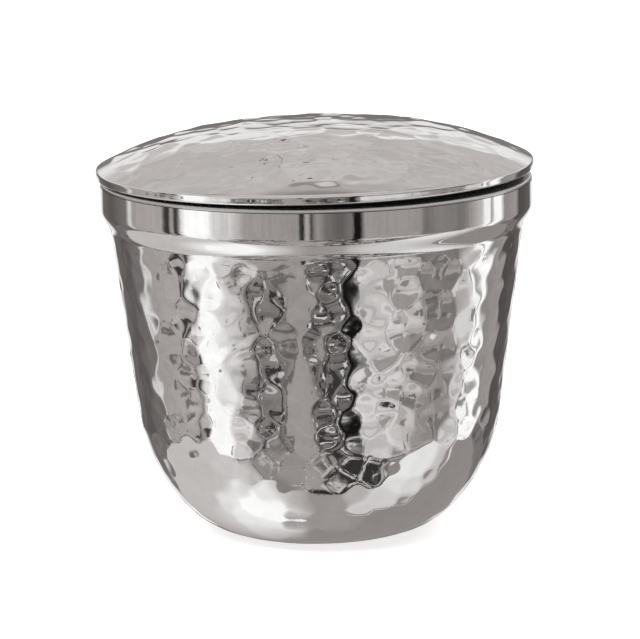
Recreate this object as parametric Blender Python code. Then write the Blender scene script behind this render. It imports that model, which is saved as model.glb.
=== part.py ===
# A round double-walled ice bucket with a loose insulated lid, in metres, +Z up.
# The origin is the centre of the base, on the surface the bucket stands on.
# Every piece is turned: an outline in radius and height, spun about its own axis.

import math

import bmesh
import bpy
from mathutils import Vector

# --- outside of the bucket ---
body_height = 0.1692        # floor to the top of the rim
collar_radius = 0.1021      # smooth straight band under the rim
collar_height = 0.0132      # rim top to where the shoulder begins
shoulder_height = 0.0110    # S-shaped step from the collar in to the wall
shoulder_step = 0.0044      # how far that step goes in
belly_radius = 0.0865       # wall radius where the belly curve begins
belly_height = 0.0580       # floor to that circle
belly_reach = 0.0254        # how long the curve keeps the wall's direction
base_reach = 0.0240         # how long it keeps the flat bottom's direction

# --- sheet, walls and rim ---
shell_sheet = 0.0008
liner_sheet = 0.0008
wall_space = 0.0053         # between the two walls
rim_thickness = 0.0016      # liner edge, folded double over the collar
rim_round = 0.0012
mouth_round = 0.0020        # inner edge of the rim

# --- base ---
foot_drop = 0.0008          # the foot pad stands this far below the shell
base_hole_radius = 0.0330
base_flange = 0.0080        # flat ring of the shell around the hole
base_disc_overlap = 0.0030  # disc laps over the hole's edge
base_disc_sheet = 0.0010
foot_ring_width = 0.0190
foot_round = 0.0004
plug_hole_radius = 0.0040   # filling hole in the base disc
plug_head_radius = 0.0065
plug_head_height = 0.0008

# --- lid ---
lid_overhang = 0.0015       # widest circle of the lid beyond the collar
lip_height = 0.0043         # lip's lower edge up to the widest circle
lip_taper = 0.0004          # lip is this much narrower at its lower edge
lid_round = 0.0015          # edge between lip and dome
dome_height = 0.0188        # widest circle up to the middle of the dome
dome_power = 2.77           # height falls with radius to this power
lid_sheet = 0.0008
hem_width = 0.0040          # lip folded in under the pan
hem_round = 0.0012          # lower edge of the lip
pan_sheet = 0.0007
plug_depth = 0.0090         # pan below the lip's lower edge
pan_round = 0.0015
pan_bottom_round = 0.0030
gasket_skirt = 0.0050       # gasket below the lip's lower edge
gasket_wall = 0.0012
gasket_drop = 0.0007        # gasket's seat below the lip's lower edge
gasket_bevel = 0.0007       # from the seat down to the skirt
gasket_clearance = 0.0010   # gasket to mouth, all round

# --- how the loose lid lies ---
lid_tilt = math.radians(0.6)    # +X side up
lid_offset = -0.0005            # along X, within the gasket's clearance

touch_gap = 0.0003          # between pieces that touch

# --- fineness ---
turn_steps = 40
small_turn_steps = 20
shoulder_steps = 4
belly_steps = 7
dome_steps = 8
corner_steps = 2
merge_distance = 0.000001
sharp_angle = math.radians(35)


def clear_scene():
    for old in list(bpy.data.objects):
        bpy.data.objects.remove(old, do_unlink=True)


def material(name, colour, roughness, metallic):
    made = bpy.data.materials.new(name)
    made.use_nodes = True
    shader = made.node_tree.nodes["Principled BSDF"]
    shader.inputs["Base Color"].default_value = (*colour, 1.0)
    shader.inputs["Roughness"].default_value = roughness
    shader.inputs["Metallic"].default_value = metallic
    made.diffuse_color = (*colour, 1.0)
    return made


# An arc from one angle to another, in degrees from +R towards +Z.
def arc(centre, radius, start, end, steps=corner_steps):
    angles = [math.radians(start + (end - start) * i / steps) for i in range(steps + 1)]
    return [(centre[0] + radius * math.cos(a), centre[1] + radius * math.sin(a)) for a in angles]


# The same line moved sideways to its right, seen along its direction.
# A point on the axis stays on it.
def offset_line(line, distance):
    points = [Vector(p) for p in line]
    runs = [(b - a).normalized() for a, b in zip(points, points[1:])]
    moved = []
    for i, point in enumerate(points):
        before = runs[max(i - 1, 0)]
        after = runs[min(i, len(runs) - 1)]
        side = Vector((before.y + after.y, -before.x - after.x)).normalized()
        lean = side.dot(Vector((after.y, -after.x)))
        shifted = point + side * distance / lean
        moved.append((shifted.x if point.x > 0 else 0, shifted.y))
    return moved


# The closed outline of a sheet whose one face follows the line.
def sheet_outline(line, thickness):
    return line + offset_line(line, thickness)[::-1]


# Spins an outline about Z. One that starts on the axis also ends on it.
def turned(name, outline, look, parent=None, location=(0, 0, 0), steps=turn_steps):
    work = bmesh.new()
    rail = [work.verts.new((r, 0, z)) for r, z in outline]
    edges = [work.edges.new(pair) for pair in zip(rail, rail[1:])]
    if outline[0][0] > merge_distance:
        edges.append(work.edges.new((rail[-1], rail[0])))
    bmesh.ops.spin(work, geom=rail + edges, cent=(0, 0, 0), axis=(0, 0, 1),
                   angle=math.tau, steps=steps, use_duplicate=False)
    bmesh.ops.remove_doubles(work, verts=work.verts, dist=merge_distance)
    bmesh.ops.recalc_face_normals(work, faces=work.faces)
    mesh = bpy.data.meshes.new(name)
    work.to_mesh(mesh)
    work.free()
    mesh.shade_smooth()
    mesh.set_sharp_from_angle(angle=sharp_angle)
    mesh.materials.append(look)
    piece = bpy.data.objects.new(name, mesh)
    bpy.context.collection.objects.link(piece)
    piece.parent = parent
    piece.location = location
    return piece


# --- lines that several pieces share ---

shoulder_top = body_height - collar_height
wall_top = shoulder_top - shoulder_height
wall_top_radius = collar_radius - shoulder_step
disc_radius = base_hole_radius + base_disc_overlap
base_radius = base_hole_radius + base_flange


# The shoulder, from collar to wall: the step eases in and out as 3t^2 - 2t^3.
def shoulder_line():
    line = []
    for i in range(shoulder_steps + 1):
        t = i / shoulder_steps
        ease = t * t * (3 - 2 * t)
        line.append((collar_radius - shoulder_step * ease, shoulder_top - shoulder_height * t))
    return line


# The tapering wall and the belly, top to bottom. The belly is a cubic Bezier curve
# that leaves along the wall and arrives flat at the edge of the base.
def wall_line():
    belly = Vector((belly_radius, belly_height))
    along = (belly - Vector((wall_top_radius, wall_top))).normalized()
    base = Vector((base_radius, foot_drop))
    pull = belly + along * belly_reach
    push = base + Vector((base_reach, 0))
    line = [(wall_top_radius, wall_top)]
    for i in range(belly_steps + 1):
        t = i / belly_steps
        u = 1 - t
        point = belly * u ** 3 + pull * 3 * u * u * t + push * 3 * u * t * t + base * t ** 3
        line.append(tuple(point))
    return line


liner_offset = shell_sheet + wall_space
liner_line = offset_line(wall_line(), liner_offset)
mouth_outer_radius = liner_line[0][0]
mouth_radius = offset_line(wall_line(), liner_offset + liner_sheet)[0][0]
rim_under = body_height - rim_thickness
disc_under = foot_drop + shell_sheet + touch_gap
disc_top = disc_under + base_disc_sheet


# --- bucket ---

def outer_shell(look):
    line = [(collar_radius, rim_under - touch_gap)] + shoulder_line() + wall_line()[1:]
    line.append((base_hole_radius, foot_drop))
    turned("outer_shell", sheet_outline(line, shell_sheet), look)


def inner_liner(look):
    outside = [(mouth_outer_radius, rim_under)] + liner_line
    outside.append((0, liner_line[-1][1]))
    inside = offset_line(wall_line(), liner_offset + liner_sheet)
    inside.append((0, inside[-1][1]))
    edge = (collar_radius - rim_round, body_height - rim_round)
    lip = (mouth_radius + mouth_round, body_height - mouth_round)
    rim = [(collar_radius, rim_under)] + arc(edge, rim_round, 0, 90)
    rim += arc(lip, mouth_round, 90, 180)
    turned("inner_liner", outside[::-1] + rim + inside, look)


def wall_insulation(look):
    gap_out = shell_sheet + touch_gap
    gap_in = liner_offset - touch_gap
    line = [(collar_radius, rim_under - touch_gap)] + shoulder_line() + wall_line()[1:]
    outside = offset_line(line, gap_out)
    outside += [(disc_radius + touch_gap, disc_under), (disc_radius + touch_gap, disc_top + touch_gap),
                (0, disc_top + touch_gap)]
    inside = offset_line(wall_line(), gap_in)
    inside = [(inside[0][0], rim_under - touch_gap)] + inside + [(0, inside[-1][1])]
    turned("wall_insulation", outside[::-1] + inside, look)


def base_disc(look):
    outline = [(plug_hole_radius, disc_under), (disc_radius, disc_under),
               (disc_radius, disc_top), (plug_hole_radius, disc_top)]
    turned("base_disc", outline, look)


def base_plug(look):
    head_top = disc_under - touch_gap
    shank = plug_hole_radius - touch_gap
    outline = [(0, head_top - plug_head_height), (plug_head_radius, head_top - plug_head_height),
               (plug_head_radius, head_top), (shank, head_top), (shank, disc_top), (0, disc_top)]
    turned("base_plug", outline, look, steps=small_turn_steps)


def foot_pad(look):
    outer = base_hole_radius - touch_gap
    inner = outer - foot_ring_width
    top = disc_under - touch_gap
    outline = arc((inner + foot_round, foot_round), foot_round, 180, 270)
    outline += arc((outer - foot_round, foot_round), foot_round, 270, 360)
    outline += [(outer, top), (inner, top)]
    turned("foot_pad", outline, look)


# --- lid, measured from its axis and the lower edge of its lip ---

lid_radius = collar_radius + lid_overhang
lip_radius = lid_radius - lip_taper
hem_inner_radius = lip_radius - hem_width
pan_under = lid_sheet + touch_gap
gasket_outer_radius = mouth_radius - gasket_clearance
pan_plug_radius = gasket_outer_radius - gasket_wall - touch_gap
gasket_seat_radius = hem_inner_radius - touch_gap


def dome_z(r):
    return lip_height + dome_height * (1 - (r / lid_radius) ** dome_power)


# The dome's outer face from the middle to where the rounded edge takes over.
# The edge's arc touches the lip and leaves along the dome's slope.
def dome_line():
    slope = math.atan(dome_height * dome_power / lid_radius)
    reach = lid_round * math.tan((math.pi / 2 - slope) / 2)
    end = lid_radius - reach * math.cos(slope)
    line = [(end * i / dome_steps, dome_z(end * i / dome_steps)) for i in range(dome_steps + 1)]
    centre = (lid_radius - lid_round, lip_height - reach)
    return line, arc(centre, lid_round, 90 - math.degrees(slope), 0)[1:]


def lid_cover(look, seat, place):
    dome, edge = dome_line()
    hem = arc((lip_radius - hem_round, hem_round), hem_round, 0, -90)
    line = dome + edge + hem + [(hem_inner_radius, 0)]
    turned("lid_cover", sheet_outline(line, lid_sheet), look, seat, place)


# The pan's lower face, from the middle of the plug to the flange inside the lip.
def pan_line():
    flange = lip_radius - lid_sheet - touch_gap
    corner = (pan_plug_radius + pan_round, pan_under - pan_round)
    bottom = (pan_plug_radius - pan_bottom_round, pan_bottom_round - plug_depth)
    line = [(0, -plug_depth)] + arc(bottom, pan_bottom_round, -90, 0)
    line += arc(corner, pan_round, 180, 90) + [(flange, pan_under)]
    return line


def lid_pan(look, seat, place):
    turned("lid_pan", sheet_outline(pan_line(), -pan_sheet), look, seat, place)


def lid_insulation(look, seat, place):
    dome, edge = dome_line()
    roof = offset_line(dome, lid_sheet + touch_gap)
    floor = offset_line(pan_line(), -pan_sheet - touch_gap)
    floor[-1] = (roof[-1][0], floor[-1][1])
    turned("lid_insulation", roof + floor[::-1], look, seat, place)


def lid_gasket(look, seat, place):
    inner = pan_plug_radius + touch_gap
    top = pan_under - touch_gap
    corner = (pan_plug_radius + pan_round, pan_under - pan_round)
    outline = [(inner, -gasket_skirt)] + arc(corner, pan_round - touch_gap, 180, 90)
    outline += [(gasket_seat_radius, top), (gasket_seat_radius, -gasket_drop),
                (mouth_radius + mouth_round, -gasket_drop),
                (gasket_outer_radius, -gasket_drop - gasket_bevel), (gasket_outer_radius, -gasket_skirt)]
    turned("lid_gasket", outline, look, seat, place)


# The lid tips about the -X side of its gasket, where it rests on the rim.
def lid_seat():
    seat = bpy.data.objects.new("lid_seat", None)
    bpy.context.collection.objects.link(seat)
    seat.location = (lid_offset - gasket_seat_radius, 0, body_height + touch_gap)
    seat.rotation_euler = (0, -lid_tilt, 0)
    return seat


def build():
    clear_scene()
    steel = material("polished_steel", (0.79, 0.78, 0.76), 0.07, 1.0)
    satin = material("satin_steel", (0.70, 0.69, 0.68), 0.28, 1.0)
    foam = material("foam", (0.86, 0.80, 0.62), 0.90, 0.0)
    black = material("black_silicone", (0.02, 0.02, 0.02), 0.55, 0.0)
    grey = material("grey_silicone", (0.20, 0.20, 0.21), 0.60, 0.0)
    outer_shell(steel)
    inner_liner(satin)
    wall_insulation(foam)
    base_disc(satin)
    base_plug(grey)
    foot_pad(black)
    seat = lid_seat()
    place = (gasket_seat_radius, 0, gasket_drop)
    lid_cover(steel, seat, place)
    lid_pan(satin, seat, place)
    lid_insulation(foam, seat, place)
    lid_gasket(black, seat, place)


build()
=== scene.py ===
import math

import bpy
import numpy as np
from mathutils import Matrix, Vector


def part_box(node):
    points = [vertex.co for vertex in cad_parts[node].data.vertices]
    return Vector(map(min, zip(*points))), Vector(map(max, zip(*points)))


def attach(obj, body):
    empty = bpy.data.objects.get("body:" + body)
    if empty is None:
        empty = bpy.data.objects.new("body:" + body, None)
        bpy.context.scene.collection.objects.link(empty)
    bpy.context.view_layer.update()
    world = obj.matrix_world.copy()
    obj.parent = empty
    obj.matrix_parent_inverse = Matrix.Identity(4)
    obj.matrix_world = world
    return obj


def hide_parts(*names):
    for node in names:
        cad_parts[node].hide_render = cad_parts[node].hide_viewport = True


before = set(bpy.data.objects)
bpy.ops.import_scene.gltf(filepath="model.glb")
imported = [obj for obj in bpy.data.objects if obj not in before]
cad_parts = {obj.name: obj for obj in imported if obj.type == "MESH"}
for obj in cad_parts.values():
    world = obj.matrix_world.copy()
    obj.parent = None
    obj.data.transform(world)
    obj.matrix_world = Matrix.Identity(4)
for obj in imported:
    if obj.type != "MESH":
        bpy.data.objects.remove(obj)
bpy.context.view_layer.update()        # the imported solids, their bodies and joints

# Everything is in metres, +Z up, with the origin under the middle of the base.
# Every piece is an outline of radius and height, carried round an axis as one grid.

print("stage 1: shared tools")

touchGap = 0.0003        # between pieces that touch, as in the solids
sharpAngle = math.radians(35)


# 0 to 1 with both ends level: 3t^2 - 2t^3.
def ease(t):
    t = np.clip(t, 0, 1)
    return t * t * (3 - 2 * t)


# Points on an arc, angles in degrees from +r towards +z.
def arcLine(centre, radius, start, end, count=8):
    angle = np.radians(np.linspace(start, end, count))
    return np.stack([centre[0] + radius * np.cos(angle), centre[1] + radius * np.sin(angle)], 1)


# Points on a straight run, both ends included.
def straightLine(start, end, count=2):
    return np.linspace(start, end, count)


# Several runs as one line, with the points that repeat taken out.
def joined(*runs):
    line = np.concatenate([np.atleast_2d(run) for run in runs])
    step = np.linalg.norm(np.diff(line, axis=0), axis=1)
    return line[np.concatenate([[True], step > 1e-7])]


# The same line with evenly spaced points, by interpolation along its length.
def evenLine(line, spacing):
    along = lengthAlong(line)
    places = np.linspace(0, along[-1], max(2, int(round(along[-1] / spacing)) + 1))
    return np.stack([np.interp(places, along, line[:, k]) for k in (0, 1)], 1)


def lengthAlong(line):
    return np.concatenate([[0], np.cumsum(np.linalg.norm(np.diff(line, axis=0), axis=1))])


# Unit vector to the right of the line at each point: the mean of its two neighbours' directions, turned.
def rightOf(line):
    run = np.gradient(line, axis=0)
    run /= np.linalg.norm(run, axis=1, keepdims=True)
    return np.stack([run[:, 1], -run[:, 0]], 1)


# The line moved sideways. A point on the axis stays on it.
def offsetLine(line, distance):
    moved = line + rightOf(line) * distance
    moved[line[:, 0] < 1e-7, 0] = 0
    return moved


# A solid of revolution. Point (r, z) of the outline goes to (r cos a, r sin a, z) for every angle a,
# and a wave, one height for each grid point, moves it along the outline's outward normal.
# An outline that starts and ends on the axis closes in two poles, and any other closes on itself.
def turnedPiece(name, outline, columns, wave=None, place=None):
    area = np.sum(outline[:, 0] * np.roll(outline[:, 1], -1) - np.roll(outline[:, 0], -1) * outline[:, 1])
    outward = rightOf(outline) * np.sign(area)
    angle = np.linspace(0, math.tau, columns, endpoint=False)
    height = np.zeros((len(outline), columns)) if wave is None else wave
    r = outline[:, :1] + outward[:, :1] * height
    z = outline[:, 1:] + outward[:, 1:] * height
    points = np.stack([r * np.cos(angle), r * np.sin(angle), z], -1)
    index = np.arange(len(outline) * columns).reshape(len(outline), columns)
    onAxis = outline[0, 0] < 1e-7
    if onAxis:
        index[0] = index[0, 0]
        index[-1] = index[-1, 0]
        below, above = index[:-1], index[1:]
    else:
        below, above = index, np.roll(index, -1, 0)
    quads = np.stack([below, np.roll(below, -1, 1), np.roll(above, -1, 1), above], -1)
    if area < 0:
        quads = quads[..., ::-1]
    caps = []
    if onAxis:
        first, last = quads[0], quads[-1]
        caps = [[c for c in dict.fromkeys(face)] for face in np.concatenate([first, last]).tolist()]
        quads = quads[1:-1]
    faces = quads.reshape(-1, 4).tolist() + caps
    mesh = bpy.data.meshes.new(name)
    mesh.from_pydata(points.reshape(-1, 3).tolist(), [], faces)
    if onAxis:
        dropLoosePoints(mesh)
    if place is not None:
        mesh.transform(place)
    mesh.update()
    mesh.shade_smooth()
    mesh.set_sharp_from_angle(angle=sharpAngle)
    piece = bpy.data.objects.new(name, mesh)
    bpy.context.scene.collection.objects.link(piece)
    return piece


# At a pole the whole first or last row stands on one point, so its other points belong to no face.
def dropLoosePoints(mesh):
    used = np.zeros(len(mesh.vertices), bool)
    corners = np.zeros(len(mesh.loops), np.int32)
    mesh.loops.foreach_get("vertex_index", corners)
    used[corners] = True
    places = np.zeros(len(mesh.vertices) * 3, np.float32)
    mesh.vertices.foreach_get("co", places)
    renumber = np.cumsum(used) - 1
    faces = [[int(renumber[v]) for v in face.vertices] for face in mesh.polygons]
    mesh.clear_geometry()
    mesh.from_pydata(places.reshape(-1, 3)[used].tolist(), [], faces)


# Gives a finished piece its look and its body, hides the solid that it stands for, and prints its triangle
# count.
def dress(piece, look, body, node):
    piece.data.materials.append(look)
    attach(piece, body)
    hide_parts(node)
    triangles = sum(len(face.vertices) - 2 for face in piece.data.polygons)
    print(f"  {piece.name}: {triangles} triangles")


# Middles of the hammer marks: equal areas of the turned surface, each turned on by the golden
# angle, and then shaken a little. Returns radius, height, angle and length along the line.
def scatterMarks(line, spacing, shake, seed):
    rng = np.random.default_rng(seed)
    along = lengthAlong(line)
    middle = (line[1:, 0] + line[:-1, 0]) / 2
    area = np.concatenate([[0], np.cumsum(math.tau * middle * np.diff(along))])
    count = int(area[-1] / (spacing ** 2 * math.sqrt(3) / 2))
    number = np.arange(count)
    place = np.interp((number + 0.5) / count * area[-1], area, along)
    place += rng.normal(0, shake * spacing, count)
    place = np.clip(place, 0, along[-1])
    r = np.interp(place, along, line[:, 0])
    z = np.interp(place, along, line[:, 1])
    angle = number * math.pi * (3 - math.sqrt(5))
    angle += rng.normal(0, shake * spacing, count) / np.maximum(r, spacing)
    return r, z, angle, place


# Heights of a hammered surface. Each mark is a shallow bowl: distance squared over twice its
# radius, less its depth. Every point takes the lowest bowl near it, and the ridges between bowls
# are rounded: height = -softness * log(sum of exp(-bowl / softness)).
def hammeredWave(line, columns, marks, seed):
    rng = np.random.default_rng(seed)
    r, z, turn, place = scatterMarks(line, marks["spacing"], marks["shake"], seed + 1)
    bowl = marks["bowl"] * np.exp(rng.normal(0, marks["bowlSpread"], len(r)))
    depth = rng.normal(0, marks["depthSpread"], len(r))
    angle = np.linspace(0, math.tau, columns, endpoint=False)
    along = lengthAlong(line)
    x = line[:, :1] * np.cos(angle)
    y = line[:, :1] * np.sin(angle)
    total = np.full(x.shape, 1e-300)
    for i in range(len(r)):
        rows = np.abs(along - place[i]) < marks["reach"]
        px = x[rows] - r[i] * math.cos(turn[i])
        py = y[rows] - r[i] * math.sin(turn[i])
        pz = line[rows, 1:] - z[i]
        lift = (px * px + py * py + pz * pz) / (2 * bowl[i]) - depth[i]
        total[rows] += np.exp(-np.minimum(lift / marks["softness"], 600))
    wave = -marks["softness"] * np.log(total)
    return wave - np.median(wave)


# A finer unevenness left by the hammer's face: many plane waves, each in its own direction through
# space and with its own length. Wave = height * sum of sin(k . p + phase) / root of half their count.
def fineRipple(line, columns, ripple, seed):
    rng = np.random.default_rng(seed)
    angle = np.linspace(0, math.tau, columns, endpoint=False)
    points = np.stack([line[:, :1] * np.cos(angle), line[:, :1] * np.sin(angle),
                       np.repeat(line[:, 1:], columns, 1)], -1)
    toward = rng.normal(0, 1, (ripple["waves"], 3))
    toward /= np.linalg.norm(toward, axis=1, keepdims=True)
    length = rng.uniform(*ripple["length"], ripple["waves"])
    phase = rng.uniform(0, math.tau, ripple["waves"])
    total = np.sin(points @ (toward * (math.tau / length)[:, None]).T + phase).sum(-1)
    return total * ripple["height"] / math.sqrt(ripple["waves"] / 2)


# Materials, and the small helpers that build their nodes.

print("stage 2: materials")


def newMaterial(name):
    look = bpy.data.materials.new(name)
    look.use_nodes = True
    return look, look.node_tree, look.node_tree.nodes["Principled BSDF"]


def addNode(tree, kind, inputs=None, **settings):
    node = tree.nodes.new(kind)
    for key, value in settings.items():
        setattr(node, key, value)
    for key, value in (inputs or {}).items():
        if isinstance(value, bpy.types.NodeSocket):
            tree.links.new(value, node.inputs[key])
        else:
            node.inputs[key].default_value = value
    return node


def mathNode(tree, operation, *values):
    return addNode(tree, "ShaderNodeMath", dict(enumerate(values)), operation=operation).outputs[0]


# Grey or coloured stops at places from 0 to 1.
def rampNode(tree, factor, stops):
    node = addNode(tree, "ShaderNodeValToRGB", {"Fac": factor})
    elements = node.color_ramp.elements
    while len(elements) < len(stops):
        elements.new(0.5)
    for element, (place, colour) in zip(elements, stops):
        element.position = place
        element.color = (*colour, 1) if isinstance(colour, tuple) else (colour, colour, colour, 1)
    return node.outputs[0]


def mixNode(tree, factor, first, second):
    node = addNode(tree, "ShaderNodeMix", data_type="RGBA")
    for socket, value in ((node.inputs[0], factor), (node.inputs[6], first), (node.inputs[7], second)):
        if isinstance(value, bpy.types.NodeSocket):
            tree.links.new(value, socket)
        else:
            socket.default_value = value
    return node.outputs[2]


# Object coordinates with the middle of the piece at zero.
def objectPlace(tree, centre=(0, 0, 0), tilt=0, scale=(1, 1, 1)):
    coordinates = addNode(tree, "ShaderNodeTexCoord").outputs["Object"]
    return addNode(tree, "ShaderNodeMapping", {"Vector": coordinates, "Location": centre,
                   "Rotation": (0, tilt, 0), "Scale": scale}, vector_type="TEXTURE").outputs[0]


def noiseNode(tree, vector, scale, detail=3, roughness=0.5):
    return addNode(tree, "ShaderNodeTexNoise", {"Vector": vector, "Scale": scale, "Detail": detail,
                   "Roughness": roughness}).outputs["Fac"]


# Gives the shader the fine relief of a height from 0 to 1, over a depth in metres.
def addBump(tree, shader, height, strength, depth):
    bump = addNode(tree, "ShaderNodeBump", {"Strength": strength, "Distance": depth, "Height": height})
    tree.links.new(bump.outputs[0], shader.inputs["Normal"])


# Gives the shader a gloss that follows a value, from least to most.
def addGloss(tree, shader, value, start, end, gloss):
    rough = addNode(tree, "ShaderNodeMapRange", {"Value": value, "From Min": start, "From Max": end,
                    "To Min": gloss[0], "To Max": gloss[1]}).outputs[0]
    tree.links.new(rough, shader.inputs["Roughness"])


# Distance from the axis, height, and zero: a vector that draws rings round a turned piece.
def ringPlace(tree, vector):
    parts = addNode(tree, "ShaderNodeSeparateXYZ", {0: vector})
    square = mathNode(tree, "ADD", mathNode(tree, "MULTIPLY", parts.outputs[0], parts.outputs[0]),
                      mathNode(tree, "MULTIPLY", parts.outputs[1], parts.outputs[1]))
    radius = mathNode(tree, "SQRT", square)
    return addNode(tree, "ShaderNodeCombineXYZ", {0: radius, 1: parts.outputs[2]}).outputs[0]


# Mirror polish: the tone and the gloss drift a little, with faint wipe marks and fine pits.
polish = {
    "light": (0.810, 0.806, 0.803),
    "dark": (0.750, 0.745, 0.741),
    "gloss": (0.015, 0.05),      # roughness, least and most
    "driftScale": 22,            # noise cells per metre
    "wipeScale": 160,
    "dimpleDepth": 0.000009,     # shallow dimples, too small for the mesh
    "dimpleScale": 330,
    "pitDepth": 0.000001,
    "pitScale": 1500,
}


def polishedSteel(name, dials):
    look, tree, shader = newMaterial(name)
    place = objectPlace(tree)
    drift = noiseNode(tree, place, dials["driftScale"], 4)
    wipe = noiseNode(tree, place, dials["wipeScale"], 5, 0.65)
    blend = mathNode(tree, "MULTIPLY", drift, wipe)
    colour = rampNode(tree, blend, [(0.15, dials["dark"]), (0.35, dials["light"])])
    tree.links.new(colour, shader.inputs["Base Color"])
    addGloss(tree, shader, wipe, 0.35, 0.75, dials["gloss"])
    dimples = noiseNode(tree, place, dials["dimpleScale"], 1)
    pits = noiseNode(tree, place, dials["pitScale"], 2)
    pitted = mathNode(tree, "MULTIPLY_ADD", pits, dials["pitDepth"] / dials["dimpleDepth"], dimples)
    addBump(tree, shader, pitted, 1.0, dials["dimpleDepth"])
    shader.inputs["Metallic"].default_value = 1.0
    return look


# Satin sheet: rings of fine spinning lines in gloss, tone and height.
satin = {
    "light": (0.74, 0.73, 0.72),
    "dark": (0.60, 0.595, 0.585),
    "gloss": (0.22, 0.36),
    "lineScale": 2600,
    "lineDepth": 0.000012,
    "cloudScale": 30,
}


def satinSteel(name, dials, centre=(0, 0, 0), tilt=0):
    look, tree, shader = newMaterial(name)
    place = objectPlace(tree, centre, tilt)
    lines = noiseNode(tree, ringPlace(tree, place), dials["lineScale"], 3, 0.7)
    cloud = noiseNode(tree, place, dials["cloudScale"], 4)
    tone = mathNode(tree, "MULTIPLY_ADD", cloud, 0.5, mathNode(tree, "MULTIPLY", lines, 0.5))
    colour = rampNode(tree, tone, [(0.35, dials["dark"]), (0.65, dials["light"])])
    tree.links.new(colour, shader.inputs["Base Color"])
    addGloss(tree, shader, lines, 0.3, 0.7, dials["gloss"])
    addBump(tree, shader, lines, 1.0, dials["lineDepth"])
    shader.inputs["Metallic"].default_value = 1.0
    return look


# Moulded silicone: a dusty bloom over a dark body, and the fine grain of the mould.
def siliconeRubber(name, body, bloom):
    look, tree, shader = newMaterial(name)
    place = objectPlace(tree)
    dust = noiseNode(tree, place, 70, 6, 0.6)
    tree.links.new(rampNode(tree, dust, [(0.38, body), (0.72, bloom)]), shader.inputs["Base Color"])
    addGloss(tree, shader, dust, 0.3, 0.7, (0.46, 0.66))
    grain = noiseNode(tree, place, 1800, 3)
    addBump(tree, shader, grain, 0.6, 0.00004)
    shader.inputs["Sheen Weight"].default_value = 0.15
    return look


# Poured foam: closed cells of many sizes, with paler walls between them.
def pouredFoam(name):
    look, tree, shader = newMaterial(name)
    place = objectPlace(tree)
    cells = addNode(tree, "ShaderNodeTexVoronoi", {"Vector": place, "Scale": 900}).outputs["Distance"]
    cloud = noiseNode(tree, place, 45, 5)
    tone = mathNode(tree, "MULTIPLY_ADD", cells, 0.5, mathNode(tree, "MULTIPLY", cloud, 0.5))
    colour = rampNode(tree, tone, [(0.30, (0.78, 0.70, 0.50)), (0.65, (0.88, 0.83, 0.67))])
    tree.links.new(colour, shader.inputs["Base Color"])
    addBump(tree, shader, cells, 0.8, 0.0003)
    shader.inputs["Roughness"].default_value = 0.9
    return look


print("stage 3: bucket")

# Lines that several pieces share. Heights and the largest radii come from the solids' boxes.
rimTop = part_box("inner_liner")[1].z
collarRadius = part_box("outer_shell")[1].x
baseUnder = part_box("outer_shell")[0].z

# The outer shell, its collar, shoulder, wall and belly, and the hammer marks on it.
shell = {
    "sheet": 0.0008,
    "collarHeight": 0.0132,      # rim top to where the shoulder begins
    "shoulderHeight": 0.0110,
    "shoulderStep": 0.0044,
    "bellyRadius": 0.0865,
    "bellyHeight": 0.0580,
    "bellyReach": 0.0254,        # how long the belly keeps the wall's direction
    "baseReach": 0.0240,         # how long it keeps the flat bottom's direction
    "holeRadius": 0.0330,
    "baseFlange": 0.0080,
    "shoulderSteps": 27,
    "edgeSteps": 9,              # points on the collar, and on the flat ring of the base
    "columns": 432,
    "rowSpacing": 0.00108,
    "backEvery": 8,              # the hidden face keeps one point in so many
    "seed": 11,
    "marks": {"spacing": 0.0108, "shake": 0.22, "bowl": 0.068, "bowlSpread": 0.34,
              "depthSpread": 0.000040, "softness": 0.000110, "reach": 0.024},
    "ripple": {"waves": 40, "length": (0.0060, 0.0120), "height": 0.0000070},
    "marksStart": 0.0045,        # below the shoulder, where the marks reach their full height
    "marksEnd": 0.014,           # outside the flat base, where they start to fade
    "calmHeight": (0.006, 0.036),    # the belly's marks grow shallower from the upper to the lower height
    "calmShare": 0.50,
}

liner = {
    "sheet": 0.0008,
    "wallSpace": 0.0053,         # foam between the two walls
    "rimThickness": 0.0016,
    "rimRound": 0.0012,
    "mouthRound": 0.0020,
    "columns": 256,
    "rowSpacing": 0.0025,
}

shoulderTop = rimTop - shell["collarHeight"]
wallTop = shoulderTop - shell["shoulderHeight"]
wallTopRadius = collarRadius - shell["shoulderStep"]
baseRadius = shell["holeRadius"] + shell["baseFlange"]
rimUnder = rimTop - liner["rimThickness"]


# The collar down to the shoulder's end. The shoulder steps in by 3t^2 - 2t^3.
def shoulderLine(top):
    t = np.linspace(0, 1, shell["shoulderSteps"])
    r = collarRadius - shell["shoulderStep"] * ease(t)
    z = shoulderTop - shell["shoulderHeight"] * t
    collar = straightLine((collarRadius, top), (collarRadius, shoulderTop), shell["edgeSteps"])
    return joined(collar, np.stack([r, z], 1))


# The tapering wall, then the belly, a cubic Bezier curve that leaves along the wall
# and arrives level at the flat base.
def wallLine(spacing):
    top = np.array([wallTopRadius, wallTop])
    belly = np.array([shell["bellyRadius"], shell["bellyHeight"]])
    base = np.array([baseRadius, baseUnder])
    pull = belly + (belly - top) / np.linalg.norm(belly - top) * shell["bellyReach"]
    push = base + np.array([shell["baseReach"], 0])
    t = np.linspace(0, 1, 400)[:, None]
    u = 1 - t
    curve = belly * u ** 3 + pull * 3 * u * u * t + push * 3 * u * t * t + base * t ** 3
    return evenLine(joined(top, curve), spacing)


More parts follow.
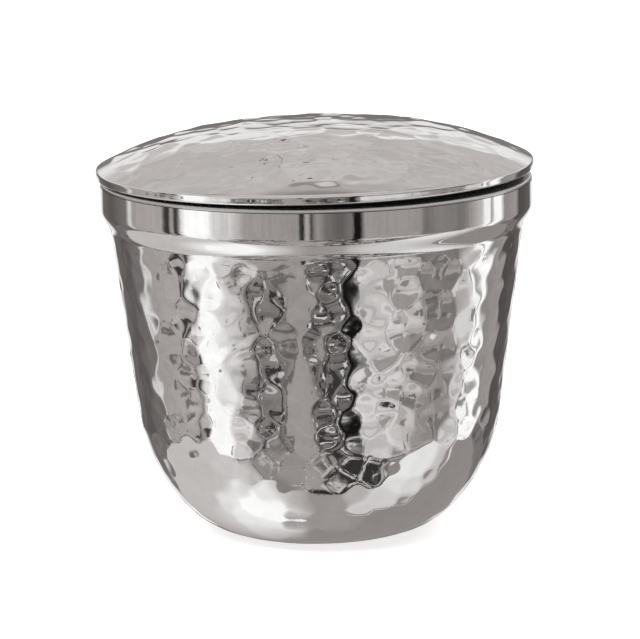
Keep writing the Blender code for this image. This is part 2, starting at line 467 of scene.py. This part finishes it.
# Outside face with its marks, then the inside face, which is plain and has fewer points.
def outerShell(look):
    collar = shoulderLine(rimUnder - touchGap)
    hole = straightLine((baseRadius, baseUnder), (shell["holeRadius"], baseUnder), shell["edgeSteps"])
    marked = joined(wallLine(shell["rowSpacing"]), hole)
    face = joined(collar, marked)
    back = offsetLine(face, shell["sheet"])
    keep = np.unique(np.append(np.arange(0, len(back), shell["backEvery"]), len(back) - 1))
    back = back[keep][::-1]
    wave = np.zeros((len(face) + len(back), shell["columns"]))
    heights = hammeredWave(marked, shell["columns"], shell["marks"], shell["seed"])
    heights += fineRipple(marked, shell["columns"], shell["ripple"], shell["seed"] + 2)
    along = lengthAlong(marked)
    low, high = shell["calmHeight"]
    share = ease(along / shell["marksStart"])
    share *= shell["calmShare"] + (1 - shell["calmShare"]) * ease((marked[:, 1] - low) / (high - low))
    share *= ease((marked[:, 0] - baseRadius) / shell["marksEnd"])
    heights *= share[:, None]
    wave[len(face) - len(marked):len(face)] = heights
    piece = turnedPiece("outerShell", np.concatenate([face, back]), shell["columns"], wave)
    dress(piece, look, "bucket", "outer_shell")


# The two faces of the liner's wall: the shell's wall moved inwards by the sheets and the foam.
def linerFaces(spacing):
    wall = wallLine(spacing)
    outside = offsetLine(wall, shell["sheet"] + liner["wallSpace"])
    inside = offsetLine(wall, shell["sheet"] + liner["wallSpace"] + liner["sheet"])
    return outside, inside


mouthRadius = linerFaces(0.001)[1][0, 0]


# The ice hollow, its mouth and the rim that is folded over the collar.
def innerLiner(look):
    outside, inside = linerFaces(liner["rowSpacing"])
    edge = (collarRadius - liner["rimRound"], rimTop - liner["rimRound"])
    lip = (mouthRadius + liner["mouthRound"], rimTop - liner["mouthRound"])
    foamSide = joined((outside[0, 0], rimUnder), outside, (0, outside[-1, 1]))[::-1]
    rim = joined((collarRadius, rimUnder), arcLine(edge, liner["rimRound"], 0, 90),
                 arcLine(lip, liner["mouthRound"], 90, 180))
    iceSide = joined(straightLine((mouthRadius, lip[1]), inside[0], 6), inside,
                     straightLine(inside[-1], (0, inside[-1, 1]), 12))
    outline = joined(foamSide, rim, iceSide)
    piece = turnedPiece("innerLiner", outline, liner["columns"])
    dress(piece, look, "bucket", "inner_liner")


# The base: the disc that closes the shell, its filling plug and the pad.
base = {
    "discOverlap": 0.0030,
    "discSheet": 0.0010,
    "padWidth": 0.0190,
    "padRound": 0.0004,
    "plugHole": 0.0040,
    "plugHead": 0.0065,
    "plugHeight": 0.0008,
    "discBevel": 0.0002,
    "faceSteps": 14,             # points across the disc
    "headSteps": 6,
    "columns": 192,
    "plugColumns": 96,
}

discRadius = shell["holeRadius"] + base["discOverlap"]
discUnder = baseUnder + shell["sheet"] + touchGap
discTop = discUnder + base["discSheet"]


# Hidden foam needs fewer points than the sheets.
foamGrid = {"columns": 160, "wallSpacing": 0.003, "domeSpacing": 0.004, "floorSpacing": 0.006}


# Foam between the walls, following both with a small gap, and stepped round the base disc.
def wallInsulation(look):
    collar = shoulderLine(rimUnder - touchGap)
    wall = wallLine(foamGrid["wallSpacing"])
    outer = offsetLine(joined(collar, wall), shell["sheet"] + touchGap)
    inner = offsetLine(wall, shell["sheet"] + liner["wallSpace"] - touchGap)
    reach = discRadius + touchGap
    outer = joined(outer, (reach, discUnder), (reach, discTop + touchGap), (0, discTop + touchGap))
    inner = joined((inner[0, 0], rimUnder - touchGap), inner, (0, inner[-1, 1]))
    piece = turnedPiece("wallInsulation", np.concatenate([outer[::-1], inner]), foamGrid["columns"])
    dress(piece, look, "bucket", "wall_insulation")


# A flat ring: its lower face, a bevelled rim, and its upper face back to the hole.
def baseDisc(look):
    hole, rim, bevel, steps = base["plugHole"], discRadius, base["discBevel"], base["faceSteps"]
    under = joined(straightLine((hole, discUnder), (rim - bevel, discUnder), steps), (rim, discUnder + bevel))
    top = joined((rim, discTop - bevel), straightLine((rim - bevel, discTop), (hole, discTop), steps))
    piece = turnedPiece("baseDisc", joined(under, top), base["columns"])
    dress(piece, look, "bucket", "base_disc")


# A bevelled head under the disc and a shank that fills its hole.
def basePlug(look):
    headTop = discUnder - touchGap
    headUnder = headTop - base["plugHeight"]
    shank, head, bevel = base["plugHole"] - touchGap, base["plugHead"], base["discBevel"]
    face = straightLine((0, headUnder), (head - bevel, headUnder), base["headSteps"])
    outline = joined(face, (head, headUnder + bevel), (head, headTop), (shank, headTop),
                     (shank, discTop), (0, discTop))
    piece = turnedPiece("basePlug", outline, base["plugColumns"])
    dress(piece, look, "bucket", "base_plug")


# A flat ring that stands on the floor, its two lower edges rounded by quarter circles.
def footPad(look):
    outer = shell["holeRadius"] - touchGap
    inner = outer - base["padWidth"]
    edge = base["padRound"]
    insideEdge = arcLine((inner + edge, edge), edge, 180, 270, 5)
    outsideEdge = arcLine((outer - edge, edge), edge, 270, 360, 5)
    outline = joined(insideEdge, outsideEdge, (outer, discUnder - touchGap), (inner, discUnder - touchGap))
    piece = turnedPiece("footPad", outline, base["columns"])
    dress(piece, look, "bucket", "foot_pad")


# The lid, made about its own axis from the lower edge of its lip, then laid on the rim.
lid = {
    "overhang": 0.0015,          # widest circle beyond the collar
    "lipHeight": 0.0043,
    "lipTaper": 0.0004,
    "edgeRound": 0.0015,
    "domeHeight": 0.0188,
    "domePower": 2.77,           # height falls with radius to this power
    "sheet": 0.0008,
    "hemWidth": 0.0040,
    "hemRound": 0.0012,
    "panSheet": 0.0007,
    "plugDepth": 0.0090,
    "panRound": 0.0015,
    "panBottomRound": 0.0030,
    "gasketSkirt": 0.0050,
    "gasketWall": 0.0012,
    "gasketDrop": 0.0007,
    "gasketBevel": 0.0007,
    "gasketClearance": 0.0010,
    "tilt": math.radians(0.6),   # +X side up, because the lid is loose
    "shift": -0.0005,            # along X
    "columns": 400,
    "rowSpacing": 0.00062,
    "backEvery": 8,
    "panColumns": 256,
    "panSpacing": 0.004,
    "seed": 23,
    "marks": {"spacing": 0.0130, "shake": 0.28, "bowl": 0.085, "bowlSpread": 0.42,
              "depthSpread": 0.000042, "softness": 0.000085, "reach": 0.030},
    "ripple": {"waves": 48, "length": (0.0045, 0.0120), "height": 0.0000160},
    "marksEnd": (0.0930, 0.0985),    # radii between which the marks fade into the rim band
}

lidRadius = collarRadius + lid["overhang"]
lipRadius = lidRadius - lid["lipTaper"]
hemInner = lipRadius - lid["hemWidth"]
panUnder = lid["sheet"] + touchGap
gasketOuter = mouthRadius - lid["gasketClearance"]
panPlug = gasketOuter - lid["gasketWall"] - touchGap
seatRadius = hemInner - touchGap
lidPlace = (Matrix.Translation((lid["shift"] - seatRadius, 0, rimTop + touchGap))
            @ Matrix.Rotation(-lid["tilt"], 4, "Y") @ Matrix.Translation((seatRadius, 0, lid["gasketDrop"])))
lidCentre = tuple(lidPlace.translation)


# Height of the dome: lipHeight + domeHeight * (1 - (r / lidRadius) ^ domePower), out to
# where an arc takes over that touches both the dome and the upright lip.
def domeLine(spacing):
    slope = math.atan(lid["domeHeight"] * lid["domePower"] / lidRadius)
    reach = lid["edgeRound"] * math.tan((math.pi / 2 - slope) / 2)
    r = np.linspace(0, lidRadius - reach * math.cos(slope), 400)
    z = lid["lipHeight"] + lid["domeHeight"] * (1 - (r / lidRadius) ** lid["domePower"])
    dome = evenLine(np.stack([r, z], 1), spacing)
    edge = arcLine((lidRadius - lid["edgeRound"], lid["lipHeight"] - reach), lid["edgeRound"],
                   90 - math.degrees(slope), 0, 9)
    return dome, edge


# The dome with its marks, the rounded edge, the upright lip and the hem folded in below it.
def lidCover(look):
    dome, edge = domeLine(lid["rowSpacing"])
    hem = arcLine((lipRadius - lid["hemRound"], lid["hemRound"]), lid["hemRound"], 0, -90, 9)
    lip = straightLine(edge[-1], hem[0], 5)
    face = joined(dome, edge, lip, hem, straightLine(hem[-1], (hemInner, 0), 4))
    back = offsetLine(face, lid["sheet"])
    keep = np.append(np.arange(0, len(dome), lid["backEvery"]), np.arange(len(dome) + 1, len(back)))
    back = back[keep][::-1]
    heights = hammeredWave(dome, lid["columns"], lid["marks"], lid["seed"])
    heights += fineRipple(dome, lid["columns"], lid["ripple"], lid["seed"] + 2)
    start, end = lid["marksEnd"]
    heights *= (1 - ease((dome[:, 0] - start) / (end - start)))[:, None]
    wave = np.zeros((len(face) + len(back), lid["columns"]))
    wave[:len(dome)] = heights
    wave[0] = heights[0].mean()      # one height for the pole
    piece = turnedPiece("lidCover", np.concatenate([face, back]), lid["columns"], wave, lidPlace)
    dress(piece, look, "lid", "lid_cover")


# The pan's lower face, from the middle of the plug to the flange inside the lip.
def panLine(spacing):
    flange = lipRadius - lid["sheet"] - touchGap
    corner = (panPlug + lid["panRound"], panUnder - lid["panRound"])
    bottom = (panPlug - lid["panBottomRound"], lid["panBottomRound"] - lid["plugDepth"])
    count = int(panPlug / spacing)
    return joined(straightLine((0, -lid["plugDepth"]), (bottom[0], -lid["plugDepth"]), count),
                  arcLine(bottom, lid["panBottomRound"], -90, 0), arcLine(corner, lid["panRound"], 180, 90),
                  straightLine((corner[0], panUnder), (flange, panUnder), 5))


# The pan's sheet: its lower face, and the same line moved up by the sheet.
def lidPan(look):
    line = panLine(lid["panSpacing"])
    outline = np.concatenate([line, offsetLine(line, -lid["panSheet"])[::-1]])
    piece = turnedPiece("lidPan", outline, lid["panColumns"], place=lidPlace)
    dress(piece, look, "lid", "lid_pan")


# Foam from the pan's upper face to the dome's inner face, a small gap from both.
def lidInsulation(look):
    dome = domeLine(foamGrid["domeSpacing"])[0]
    roof = offsetLine(dome, lid["sheet"] + touchGap)
    floor = offsetLine(panLine(foamGrid["floorSpacing"]), -lid["panSheet"] - touchGap)
    floor[-1, 0] = roof[-1, 0]
    outline = np.concatenate([roof, floor[::-1]])
    piece = turnedPiece("lidInsulation", outline, foamGrid["columns"], place=lidPlace)
    dress(piece, look, "lid", "lid_insulation")


# An L in section: a skirt round the plug, and a flange between the pan and the rim.
def lidGasket(look):
    corner = (panPlug + lid["panRound"], panUnder - lid["panRound"])
    drop, skirt = -lid["gasketDrop"], -lid["gasketSkirt"]
    bend = arcLine(corner, lid["panRound"] - touchGap, 180, 90, 6)
    outline = joined((panPlug + touchGap, skirt), bend, (seatRadius, panUnder - touchGap), (seatRadius, drop),
                     (mouthRadius + liner["mouthRound"], drop), (gasketOuter, drop - lid["gasketBevel"]),
                     (gasketOuter, skirt))
    piece = turnedPiece("lidGasket", outline, lid["panColumns"], place=lidPlace)
    dress(piece, look, "lid", "lid_gasket")


steel = polishedSteel("hammeredSteel", polish)
bucketSatin = satinSteel("spunSteel", satin)
lidSatin = satinSteel("spunLidSteel", satin, lidCentre, -lid["tilt"])
foam = pouredFoam("pouredFoam")
black = siliconeRubber("blackSilicone", (0.016, 0.016, 0.017), (0.045, 0.045, 0.047))
grey = siliconeRubber("greySilicone", (0.18, 0.18, 0.19), (0.28, 0.28, 0.29))

outerShell(steel)
innerLiner(bucketSatin)
wallInsulation(foam)
baseDisc(bucketSatin)
basePlug(grey)
footPad(black)

print("stage 4: lid")
lidCover(steel)
lidPan(lidSatin)
lidInsulation(foam)
lidGasket(black)

print("stage 5: floor, light and camera")

# What the steel mirrors: tone as seen in the metal, from 0 to 1, by direction in degrees
# (0 is in front, +90 is to the right).
studio = {
    "wallTones": [
        (-180, 0.42), (-172, 0.45), (-168, 0.93), (-162, 0.90), (-156, 0.45), (-123, 0.44), (-117, 0.62),
        (-88, 0.67), (-83, 0.55), (-80, 0.72), (-75, 0.99), (-63, 0.99), (-57, 0.82), (-47, 0.76),
        (-43, 0.52), (-21, 0.47), (-17, 0.60), (-6, 0.60), (-4, 0.46), (17.5, 0.42), (19.9, 0.07),
        (22.0, 0.07), (23.6, 0.78), (50, 0.79), (54, 0.73), (64, 0.72), (67, 0.60), (86, 0.62),
        (89, 0.79), (103, 0.82), (106, 0.99), (114, 0.99), (118, 0.62), (128, 0.46), (158, 0.46),
        (164, 0.90), (169, 0.90), (173, 0.45), (180, 0.42)],
    "collarTones": [
        (-180, 0.42), (-172, 0.45), (-168, 0.93), (-163, 0.85), (-158, 0.40), (-140, 0.34), (-121, 0.46),
        (-117, 0.85), (-114, 0.62), (-90, 0.66), (-87, 0.20), (-84, 0.24), (-83, 0.58), (-81.5, 0.60),
        (-80.5, 0.22), (-78, 0.28), (-76, 0.80), (-73, 0.99), (-60, 0.99), (-56, 0.82), (-44, 0.78),
        (-38, 0.62), (-9, 0.58), (-8.4, 0.18), (-6.6, 0.18), (-6.0, 0.66), (-3.2, 0.62), (-2.8, 0.24),
        (-1.8, 0.24), (-1.2, 0.58), (4, 0.46), (12, 0.38), (18.6, 0.46), (19.4, 0.09), (23.4, 0.09),
        (24.6, 0.62), (56, 0.60), (58, 0.45), (70, 0.52), (84, 0.46), (90, 0.62), (98, 0.75),
        (100, 0.97), (104, 0.97), (105, 0.60), (106.5, 0.60), (107.5, 0.99), (114, 0.99), (118, 0.55),
        (132, 0.60), (136, 0.30), (158, 0.36), (164, 0.85), (169, 0.90), (173, 0.45), (180, 0.42)],
    "lowTones": [
        (-180, 0.60), (-168, 0.77), (-120, 0.70), (-84, 0.78), (-72, 0.84), (-60, 0.76), (-52, 0.58),
        (-36, 0.53), (-24, 0.58), (-12, 0.61), (4, 0.60), (14, 0.56), (19, 0.22), (24, 0.18), (28, 0.70),
        (40, 0.78), (46, 0.50), (50, 0.35), (56, 0.45), (66, 0.62), (72, 0.80), (96, 0.80), (108, 0.72),
        (120, 0.62), (132, 0.50), (144, 0.56), (156, 0.52), (168, 0.45), (180, 0.50)],
    "tableTones": [
        (-180, 0.60), (-166, 0.66), (-154, 0.74), (-130, 0.75), (-96, 0.75), (-80, 0.77), (-64, 0.80),
        (-48, 0.82), (-30, 0.75), (-14, 0.62), (0, 0.58), (22, 0.60), (34, 0.78), (50, 0.89), (66, 0.91),
        (84, 0.87), (100, 0.76), (116, 0.64), (150, 0.60), (180, 0.58)],
    "deepTones": [
        (-180, 0.62), (-160, 0.76), (-130, 0.90), (-100, 0.96), (-80, 0.98), (-60, 0.97), (-50, 0.86),
        (-40, 0.80), (-24, 0.68), (-10, 0.60), (24, 0.62), (40, 0.74), (60, 0.82), (80, 0.80),
        (100, 0.70), (116, 0.62), (180, 0.60)],
    "backTones": [(0.0, 0.42), (0.09, 0.47), (0.115, 0.62), (0.14, 0.80), (0.20, 0.86), (0.27, 0.86),
                  (0.32, 0.74), (0.45, 0.71), (0.60, 0.73), (0.78, 0.74), (0.85, 0.66), (0.872, 0.56),
                  (0.885, 0.60), (0.905, 0.75), (1.0, 0.79)],
    "steel": 0.80,               # share of light that the steel sends back
    "warm": (1.0, 0.93, 0.905),  # tint of the darker tones, which fades out towards white
    # Noises over the directions: cells, detail and roughness.
    "noises": {"sway": (8, 1, 0.5), "cloud": (9, 4, 0.6), "broad": (4, 3, 0.5), "grain": (26, 4, 0.65),
               "clutter": (15, 4, 0.65), "specks": (17, 2, 0.5), "waver": (10, 2, 0.5), "curl": (30, 1, 0.5)},
    "sway": 0.014,               # how far the tones are carried round, in turns
    "waver": 0.16,               # how far the rings' edges go up and down
    "mottle": {"wall": 0.22, "collar": 0.26, "table": 0.12, "back": 0.14, "streak": 0.36},
    "streakScale": (4.0, 4.0, 22.0),
    # Height of the view where one ring gives way to the next, both ends of the change.
    "collarStart": (-0.378, -0.362),
    "lowStart": (-0.56, -0.53),
    "deepStart": (-0.70, -0.86),
    "backStart": (0.0, 0.04),
    # Shelves and sills: the wall's tones are multiplied by these, by how far down the view looks.
    "shelves": [(0.340, 1.08), (0.385, 1.08), (0.395, 0.82), (0.420, 0.84), (0.432, 1.02), (0.452, 0.98),
                (0.464, 1.16), (0.485, 1.18), (0.496, 0.84), (0.520, 0.88), (0.534, 1.05), (0.56, 1.05)],
    "shelfWaver": 0.4,
    "shelfShare": [(-180, 0.6), (-80, 0.7), (-76, 0.0), (-60, 0.0), (-50, 1.0), (-21, 1.0), (-17, 0.2),
                   (-8, 0.2), (-5, 1.0), (17, 1.0), (19, 0.3), (23, 0.3), (25, 1.0), (98, 1.0),
                   (104, 0.0), (116, 0.0), (122, 0.6), (180, 0.6)],
    "post": (19.9, 22.3, 1),     # a black upright: start, end and softness
    "postTone": 0.08,
    # Things about the room, seen as spots in the dents: the noise that scatters them, where it brings
    # them in, their spans of the horizon (start, end, softness), or none for all of it, at most two,
    # how solid they are, and their tone.
    "wallSpots": [
        ("clutter", (0.475, 0.435), [(-44, -22, 3), (-4, 18, 3)], 1.0, 0.22),
        ("specks", (0.39, 0.35), [], 0.7, 0.32),
        ("specks", (0.50, 0.45), [(-126, -84, 5)], 0.7, 0.36),
        ("specks", (0.60, 0.64), [(-44, -22, 3), (-4, 18, 3)], 1.0, 0.80)],
    "lowSpots": [
        ("specks", (0.39, 0.35), [], 0.7, 0.34),
        ("clutter", (0.50, 0.46), [(8, 44, 8)], 1.0, 0.20),
        ("clutter", (0.56, 0.60), [(-40, 70, 5)], 1.0, 0.74)],
    # The table: it starts where the view drops this much for each part forward, but by this at least.
    "table": {"drop": 2.05, "least": 0.46, "start": (-0.010, 0.012)},
    # Painted shade along the table's edge, broken into dark blotches by the clutter noise.
    "tableEdgeShade": {"depth": (-0.07, -0.01, 0.01), "span": (-10, 48, 5), "clutter": (0.62, 0.54), "tone": 0.17},
    # The bucket's own shade on the table, to the lower right, with a bright line inside its edge.
    # It is measured along y - lean * x, which the broad noise bends.
    "shade": {"side": (-0.14, -0.04), "lean": 0.45, "bend": 0.08, "start": (-0.20, -0.185), "tone": 0.55},
    "glint": {"across": (-0.150, -0.138, 0.006), "side": (0.05, 0.12), "tone": 0.93},
    "under": {"start": (-0.955, -0.985), "tone": 0.60},        # straight below
    "lamp": {"middle": (-0.38, 0.02), "half": (0.25, 0.13), "bend": 0.5, "start": (0.45, 0.70), "tone": 1.0},
    # A dark thing high up behind, mirrored as a squiggle in the lid.
    "squiggle": {"middle": (-0.064, 0.67), "half": (0.044, 0.100), "start": (0.0, 0.4),
                 "curl": (0.44, 0.52, 0.02), "behind": (0.0, 0.1), "tone": 0.30},
}


# Light that the steel shows as this tone: the screen's own curve undone, ((tone + 0.055) / 1.055) ^ 2.4,
# over the steel's share. The tint fades out from tone 0.62 to 0.92.
def asLight(tone):
    level = (max(tone, 0.001) + 0.055) / 1.055
    bright = level ** 2.4 / studio["steel"]
    fade = float(ease((tone - 0.62) / 0.30))
    return tuple(bright * (w + (1 - w) * fade) for w in studio["warm"])


# Degrees round the horizon as a place from 0 to 1 along a ramp.
def asTurn(degrees):
    return (degrees + 180) / 360


# Tones round the horizon. A ramp holds 32 stops, so one ramp serves the left and one the right.
def toneRing(tree, turn, tones):
    left = [(asTurn(a), asLight(t)) for a, t in tones if a <= 0]
    right = [(asTurn(a), asLight(t)) for a, t in tones if a > 0]
    middle = (left[-1][0] + right[0][0]) / 2
    side = mathNode(tree, "GREATER_THAN", turn, middle)
    right = [(middle, left[-1][1])] + right
    return mixNode(tree, side, rampNode(tree, turn, left), rampNode(tree, turn, right))


# 0 at the first value and 1 at the second, with both ends level.
def smoothStep(tree, value, low, high):
    return addNode(tree, "ShaderNodeMapRange", {"Value": value, "From Min": low, "From Max": high},
                   interpolation_type="SMOOTHSTEP").outputs[0]


# 1 inside a span of the horizon, in degrees, and 0 beyond it, with soft ends.
def spanMask(tree, turn, start, end, soft):
    places = [(start - soft, 0.0), (start, 1.0), (end, 1.0), (end + soft, 0.0)]
    return rampNode(tree, turn, [(asTurn(a), v) for a, v in places])


# 1 where a value lies between two others, and 0 beyond them.
def bandMask(tree, value, low, high, soft):
    rise = smoothStep(tree, value, low - soft, low + soft)
    fall = smoothStep(tree, value, high + soft, high - soft)
    return mathNode(tree, "MULTIPLY", rise, fall)


# 1 at the middle of an ellipse, 0 on its edge: 1 - (u^2 + v^2), with u and v the parts of its half widths.
def discMask(tree, parts, middle, half):
    squares = []
    for value, centre, width in zip(parts, middle, half):
        part = mathNode(tree, "MULTIPLY_ADD", value, 1 / width, -centre / width)
        squares.append(mathNode(tree, "MULTIPLY", part, part))
    return mathNode(tree, "SUBTRACT", 1.0, mathNode(tree, "ADD", *squares))


# Tones multiplied by 1 + amount * (noise - 0.5) * 2.
def mottled(tree, colour, noise, amount):
    factor = mathNode(tree, "MULTIPLY_ADD", noise, 2 * amount, 1 - amount)
    return addNode(tree, "ShaderNodeVectorMath", {0: colour, "Scale": factor}, operation="SCALE").outputs[0]


def multiplied(tree, first, second):
    return addNode(tree, "ShaderNodeVectorMath", {0: first, 1: second}, operation="MULTIPLY").outputs[0]


# The picture with one tone laid over it, as far as the masks together let it through.
def toned(tree, picture, tone, *masks):
    factor = masks[0]
    for mask in masks[1:]:
        factor = mathNode(tree, "MULTIPLY", factor, mask)
    return mixNode(tree, factor, picture, (*asLight(tone), 1))


# Lays the spots of a list over a ring, one kind after another.
def spotted(tree, ring, spots, noises, turn):
    for noise, (off, on), spans, share, tone in spots:
        masks = [smoothStep(tree, noises[noise], off, on), share]
        around = [spanMask(tree, turn, *span) for span in spans]
        if len(around) == 2:
            around = [mathNode(tree, "ADD", *around)]
        masks += around
        ring = toned(tree, ring, tone, *masks)
    return ring


# The room's walls with their shelves, spots and black upright.
def paintWall(tree, turn, swayed, down, waver, noises):
    wall = toneRing(tree, swayed, studio["wallTones"])
    wall = mottled(tree, wall, noises["cloud"], studio["mottle"]["wall"])
    wall = spotted(tree, wall, studio["wallSpots"], noises, turn)
    level = mathNode(tree, "MULTIPLY_ADD", waver, studio["shelfWaver"], down)
    shelved = multiplied(tree, wall, rampNode(tree, level, studio["shelves"]))
    share = rampNode(tree, turn, [(asTurn(a), v) for a, v in studio["shelfShare"]])
    wall = mixNode(tree, share, wall, shelved)
    return toned(tree, wall, studio["postTone"], spanMask(tree, swayed, *studio["post"]))


# The table: its tones further out and further down, then the shade with its bright line, the darker
# part straight below, and the lamp.
def paintTable(tree, x, y, z, swayed, broad):
    shade, glint, under, lamp = (studio[key] for key in ("shade", "glint", "under", "lamp"))
    paler = toneRing(tree, swayed, studio["tableTones"])
    deeper = toneRing(tree, swayed, studio["deepTones"])
    table = mixNode(tree, smoothStep(tree, z, *studio["deepStart"]), paler, deeper)
    table = mottled(tree, table, broad, studio["mottle"]["table"])
    across = mathNode(tree, "MULTIPLY_ADD", x, -shade["lean"], y)
    across = mathNode(tree, "ADD", across, -shade["bend"] / 2)
    across = mathNode(tree, "MULTIPLY_ADD", broad, shade["bend"], across)
    table = toned(tree, table, shade["tone"], smoothStep(tree, x, *shade["side"]),
                  smoothStep(tree, across, *shade["start"]))
    table = toned(tree, table, glint["tone"], bandMask(tree, across, *glint["across"]),
                  smoothStep(tree, x, *glint["side"]))
    table = toned(tree, table, under["tone"], smoothStep(tree, z, *under["start"]))
    disc = discMask(tree, (x, y), lamp["middle"], lamp["half"])
    glow = mathNode(tree, "MULTIPLY_ADD", broad, lamp["bend"], disc)
    return toned(tree, table, lamp["tone"], smoothStep(tree, glow, *lamp["start"]))


# The upper half, which the lid mirrors: tones by height, streaked.
def paintBack(tree, direction, z, cloud):
    back = rampNode(tree, z, [(p, asLight(t)) for p, t in studio["backTones"]])
    back = mottled(tree, back, cloud, studio["mottle"]["back"])
    stretched = multiplied(tree, direction, studio["streakScale"])
    return mottled(tree, back, noiseNode(tree, stretched, 1.0, 4, 0.6), studio["mottle"]["streak"])


# The surroundings by direction. The steel and the other pieces see them, and the camera sees plain white.
def paintStudio():
    world = bpy.data.worlds.new("studio")
    bpy.context.scene.world = world
    world.use_nodes = True
    tree = world.node_tree
    tree.nodes.clear()
    direction = addNode(tree, "ShaderNodeTexCoord").outputs["Generated"]
    noises = {name: noiseNode(tree, direction, *dials) for name, dials in studio["noises"].items()}
    x, y, z = addNode(tree, "ShaderNodeSeparateXYZ", {0: direction}).outputs
    forward = mathNode(tree, "MULTIPLY", y, -1.0)
    down = mathNode(tree, "MULTIPLY", z, -1.0)
    turn = mathNode(tree, "MULTIPLY_ADD", mathNode(tree, "ARCTAN2", x, forward), 1 / math.tau, 0.5)
    sway = mathNode(tree, "MULTIPLY_ADD", noises["sway"], studio["sway"], -studio["sway"] / 2)
    swayed = mathNode(tree, "ADD", turn, sway)
    waver = mathNode(tree, "MULTIPLY_ADD", noises["waver"], studio["waver"], -studio["waver"] / 2)
    height = mathNode(tree, "ADD", z, waver)

    # From the horizon down: the collar's view of the room, the wall's, the belly's, then the table.
    mottle, cloud = studio["mottle"], noises["cloud"]
    collar = mottled(tree, toneRing(tree, turn, studio["collarTones"]), noises["grain"], mottle["collar"])
    wall = paintWall(tree, turn, swayed, down, waver, noises)
    low = mottled(tree, toneRing(tree, swayed, studio["lowTones"]), cloud, mottle["wall"])
    low = spotted(tree, low, studio["lowSpots"], noises, turn)
    room = mixNode(tree, smoothStep(tree, height, *studio["collarStart"]), wall, collar)
    room = mixNode(tree, smoothStep(tree, height, *studio["lowStart"]), low, room)

    edge = mathNode(tree, "MULTIPLY", forward, studio["table"]["drop"])
    edge = mathNode(tree, "MAXIMUM", edge, studio["table"]["least"])
    depth = mathNode(tree, "SUBTRACT", down, edge)
    # Painted shade: a dark band along the table's edge, in blotches.
    tableEdgeShade = studio["tableEdgeShade"]
    dark = smoothStep(tree, noises["clutter"], *tableEdgeShade["clutter"])
    room = toned(tree, room, tableEdgeShade["tone"], bandMask(tree, depth, *tableEdgeShade["depth"]),
                 spanMask(tree, turn, *tableEdgeShade["span"]), dark)
    table = paintTable(tree, x, y, z, swayed, noises["broad"])
    lower = mixNode(tree, smoothStep(tree, depth, *studio["table"]["start"]), room, table)
    back = paintBack(tree, direction, z, cloud)
    seen = mixNode(tree, smoothStep(tree, z, *studio["backStart"]), lower, back)

    squiggle = studio["squiggle"]
    near = discMask(tree, (x, z), squiggle["middle"], squiggle["half"])
    seen = toned(tree, seen, squiggle["tone"], smoothStep(tree, near, *squiggle["start"]),
                 bandMask(tree, noises["curl"], *squiggle["curl"]), smoothStep(tree, y, *squiggle["behind"]))

    light = addNode(tree, "ShaderNodeBackground", {"Color": seen})
    white = addNode(tree, "ShaderNodeBackground", {"Color": (1, 1, 1, 1)})
    path = addNode(tree, "ShaderNodeLightPath").outputs["Is Camera Ray"]
    mixed = addNode(tree, "ShaderNodeMixShader", {0: path, 1: light.outputs[0], 2: white.outputs[0]})
    tree.links.new(mixed.outputs[0], addNode(tree, "ShaderNodeOutputWorld").inputs[0])


# A wide pale floor. The steel mirrors the painted studio, so the floor keeps out of its reflections.
def paleFloor():
    size = 4.0
    level = -0.0002              # just clear of the pad's underside
    mesh = bpy.data.meshes.new("floor")
    corners = [(-size, -size, level), (size, -size, level), (size, size, level), (-size, size, level)]
    mesh.from_pydata(corners, [], [(0, 1, 2, 3)])
    floor = bpy.data.objects.new("floor", mesh)
    bpy.context.scene.collection.objects.link(floor)
    look, tree, shader = newMaterial("paleFloor")
    grain = noiseNode(tree, objectPlace(tree), 3, 3)
    tree.links.new(rampNode(tree, grain, [(0.3, (0.93, 0.93, 0.93)), (0.7, (0.95, 0.95, 0.95))]),
                   shader.inputs["Base Color"])
    shader.inputs["Roughness"].default_value = 0.9
    shader.inputs["Emission Color"].default_value = (1, 1, 1, 1)
    shader.inputs["Emission Strength"].default_value = 0.55
    under = addNode(tree, "ShaderNodeNewGeometry").outputs["Backfacing"]    # clear when seen from below
    clear = addNode(tree, "ShaderNodeBsdfTransparent").outputs[0]
    mixed = addNode(tree, "ShaderNodeMixShader", {0: under, 1: shader.outputs[0], 2: clear}).outputs[0]
    tree.links.new(mixed, tree.nodes["Material Output"].inputs["Surface"])
    mesh.materials.append(look)
    floor.visible_glossy = False


def softLight(name, place, aim, size, power):
    data = bpy.data.lights.new(name, "AREA")
    data.shape = "DISK"
    data.size = size
    data.energy = power
    light = bpy.data.objects.new(name, data)
    bpy.context.scene.collection.objects.link(light)
    light.location = place
    light.rotation_euler = (Vector(aim) - Vector(place)).to_track_quat("-Z", "Y").to_euler()
    light.visible_glossy = False
    light.visible_camera = False


view = {
    "elevation": math.radians(11.424),
    "distance": 1.5,
    "aim": (0, 0, 0.095),
    "roll": math.radians(-1.0),
    "lens": 176.44,
    "shift": (0.0023, 0.0143),
}


def makeCamera():
    data = bpy.data.cameras.new("camera")
    data.sensor_width = 36
    data.lens = view["lens"]
    data.shift_x, data.shift_y = view["shift"]
    data.clip_start, data.clip_end = 0.05, 30
    camera = bpy.data.objects.new("camera", data)
    bpy.context.scene.collection.objects.link(camera)
    back = Vector((0, -math.cos(view["elevation"]), math.sin(view["elevation"])))
    turn = (-back).to_track_quat("-Z", "Y").to_matrix().to_4x4() @ Matrix.Rotation(view["roll"], 4, "Z")
    camera.matrix_world = Matrix.Translation(Vector(view["aim"]) + back * view["distance"]) @ turn
    bpy.context.scene.camera = camera


paintStudio()
paleFloor()
softLight("keyLight", (-0.9, -1.2, 1.9), (0, 0, 0.1), 1.4, 38)
softLight("fillLight", (1.3, 0.6, 1.7), (0, 0, 0.1), 1.6, 16)
makeCamera()
bpy.context.scene.view_settings.view_transform = "Standard"

print("stage 6: done")
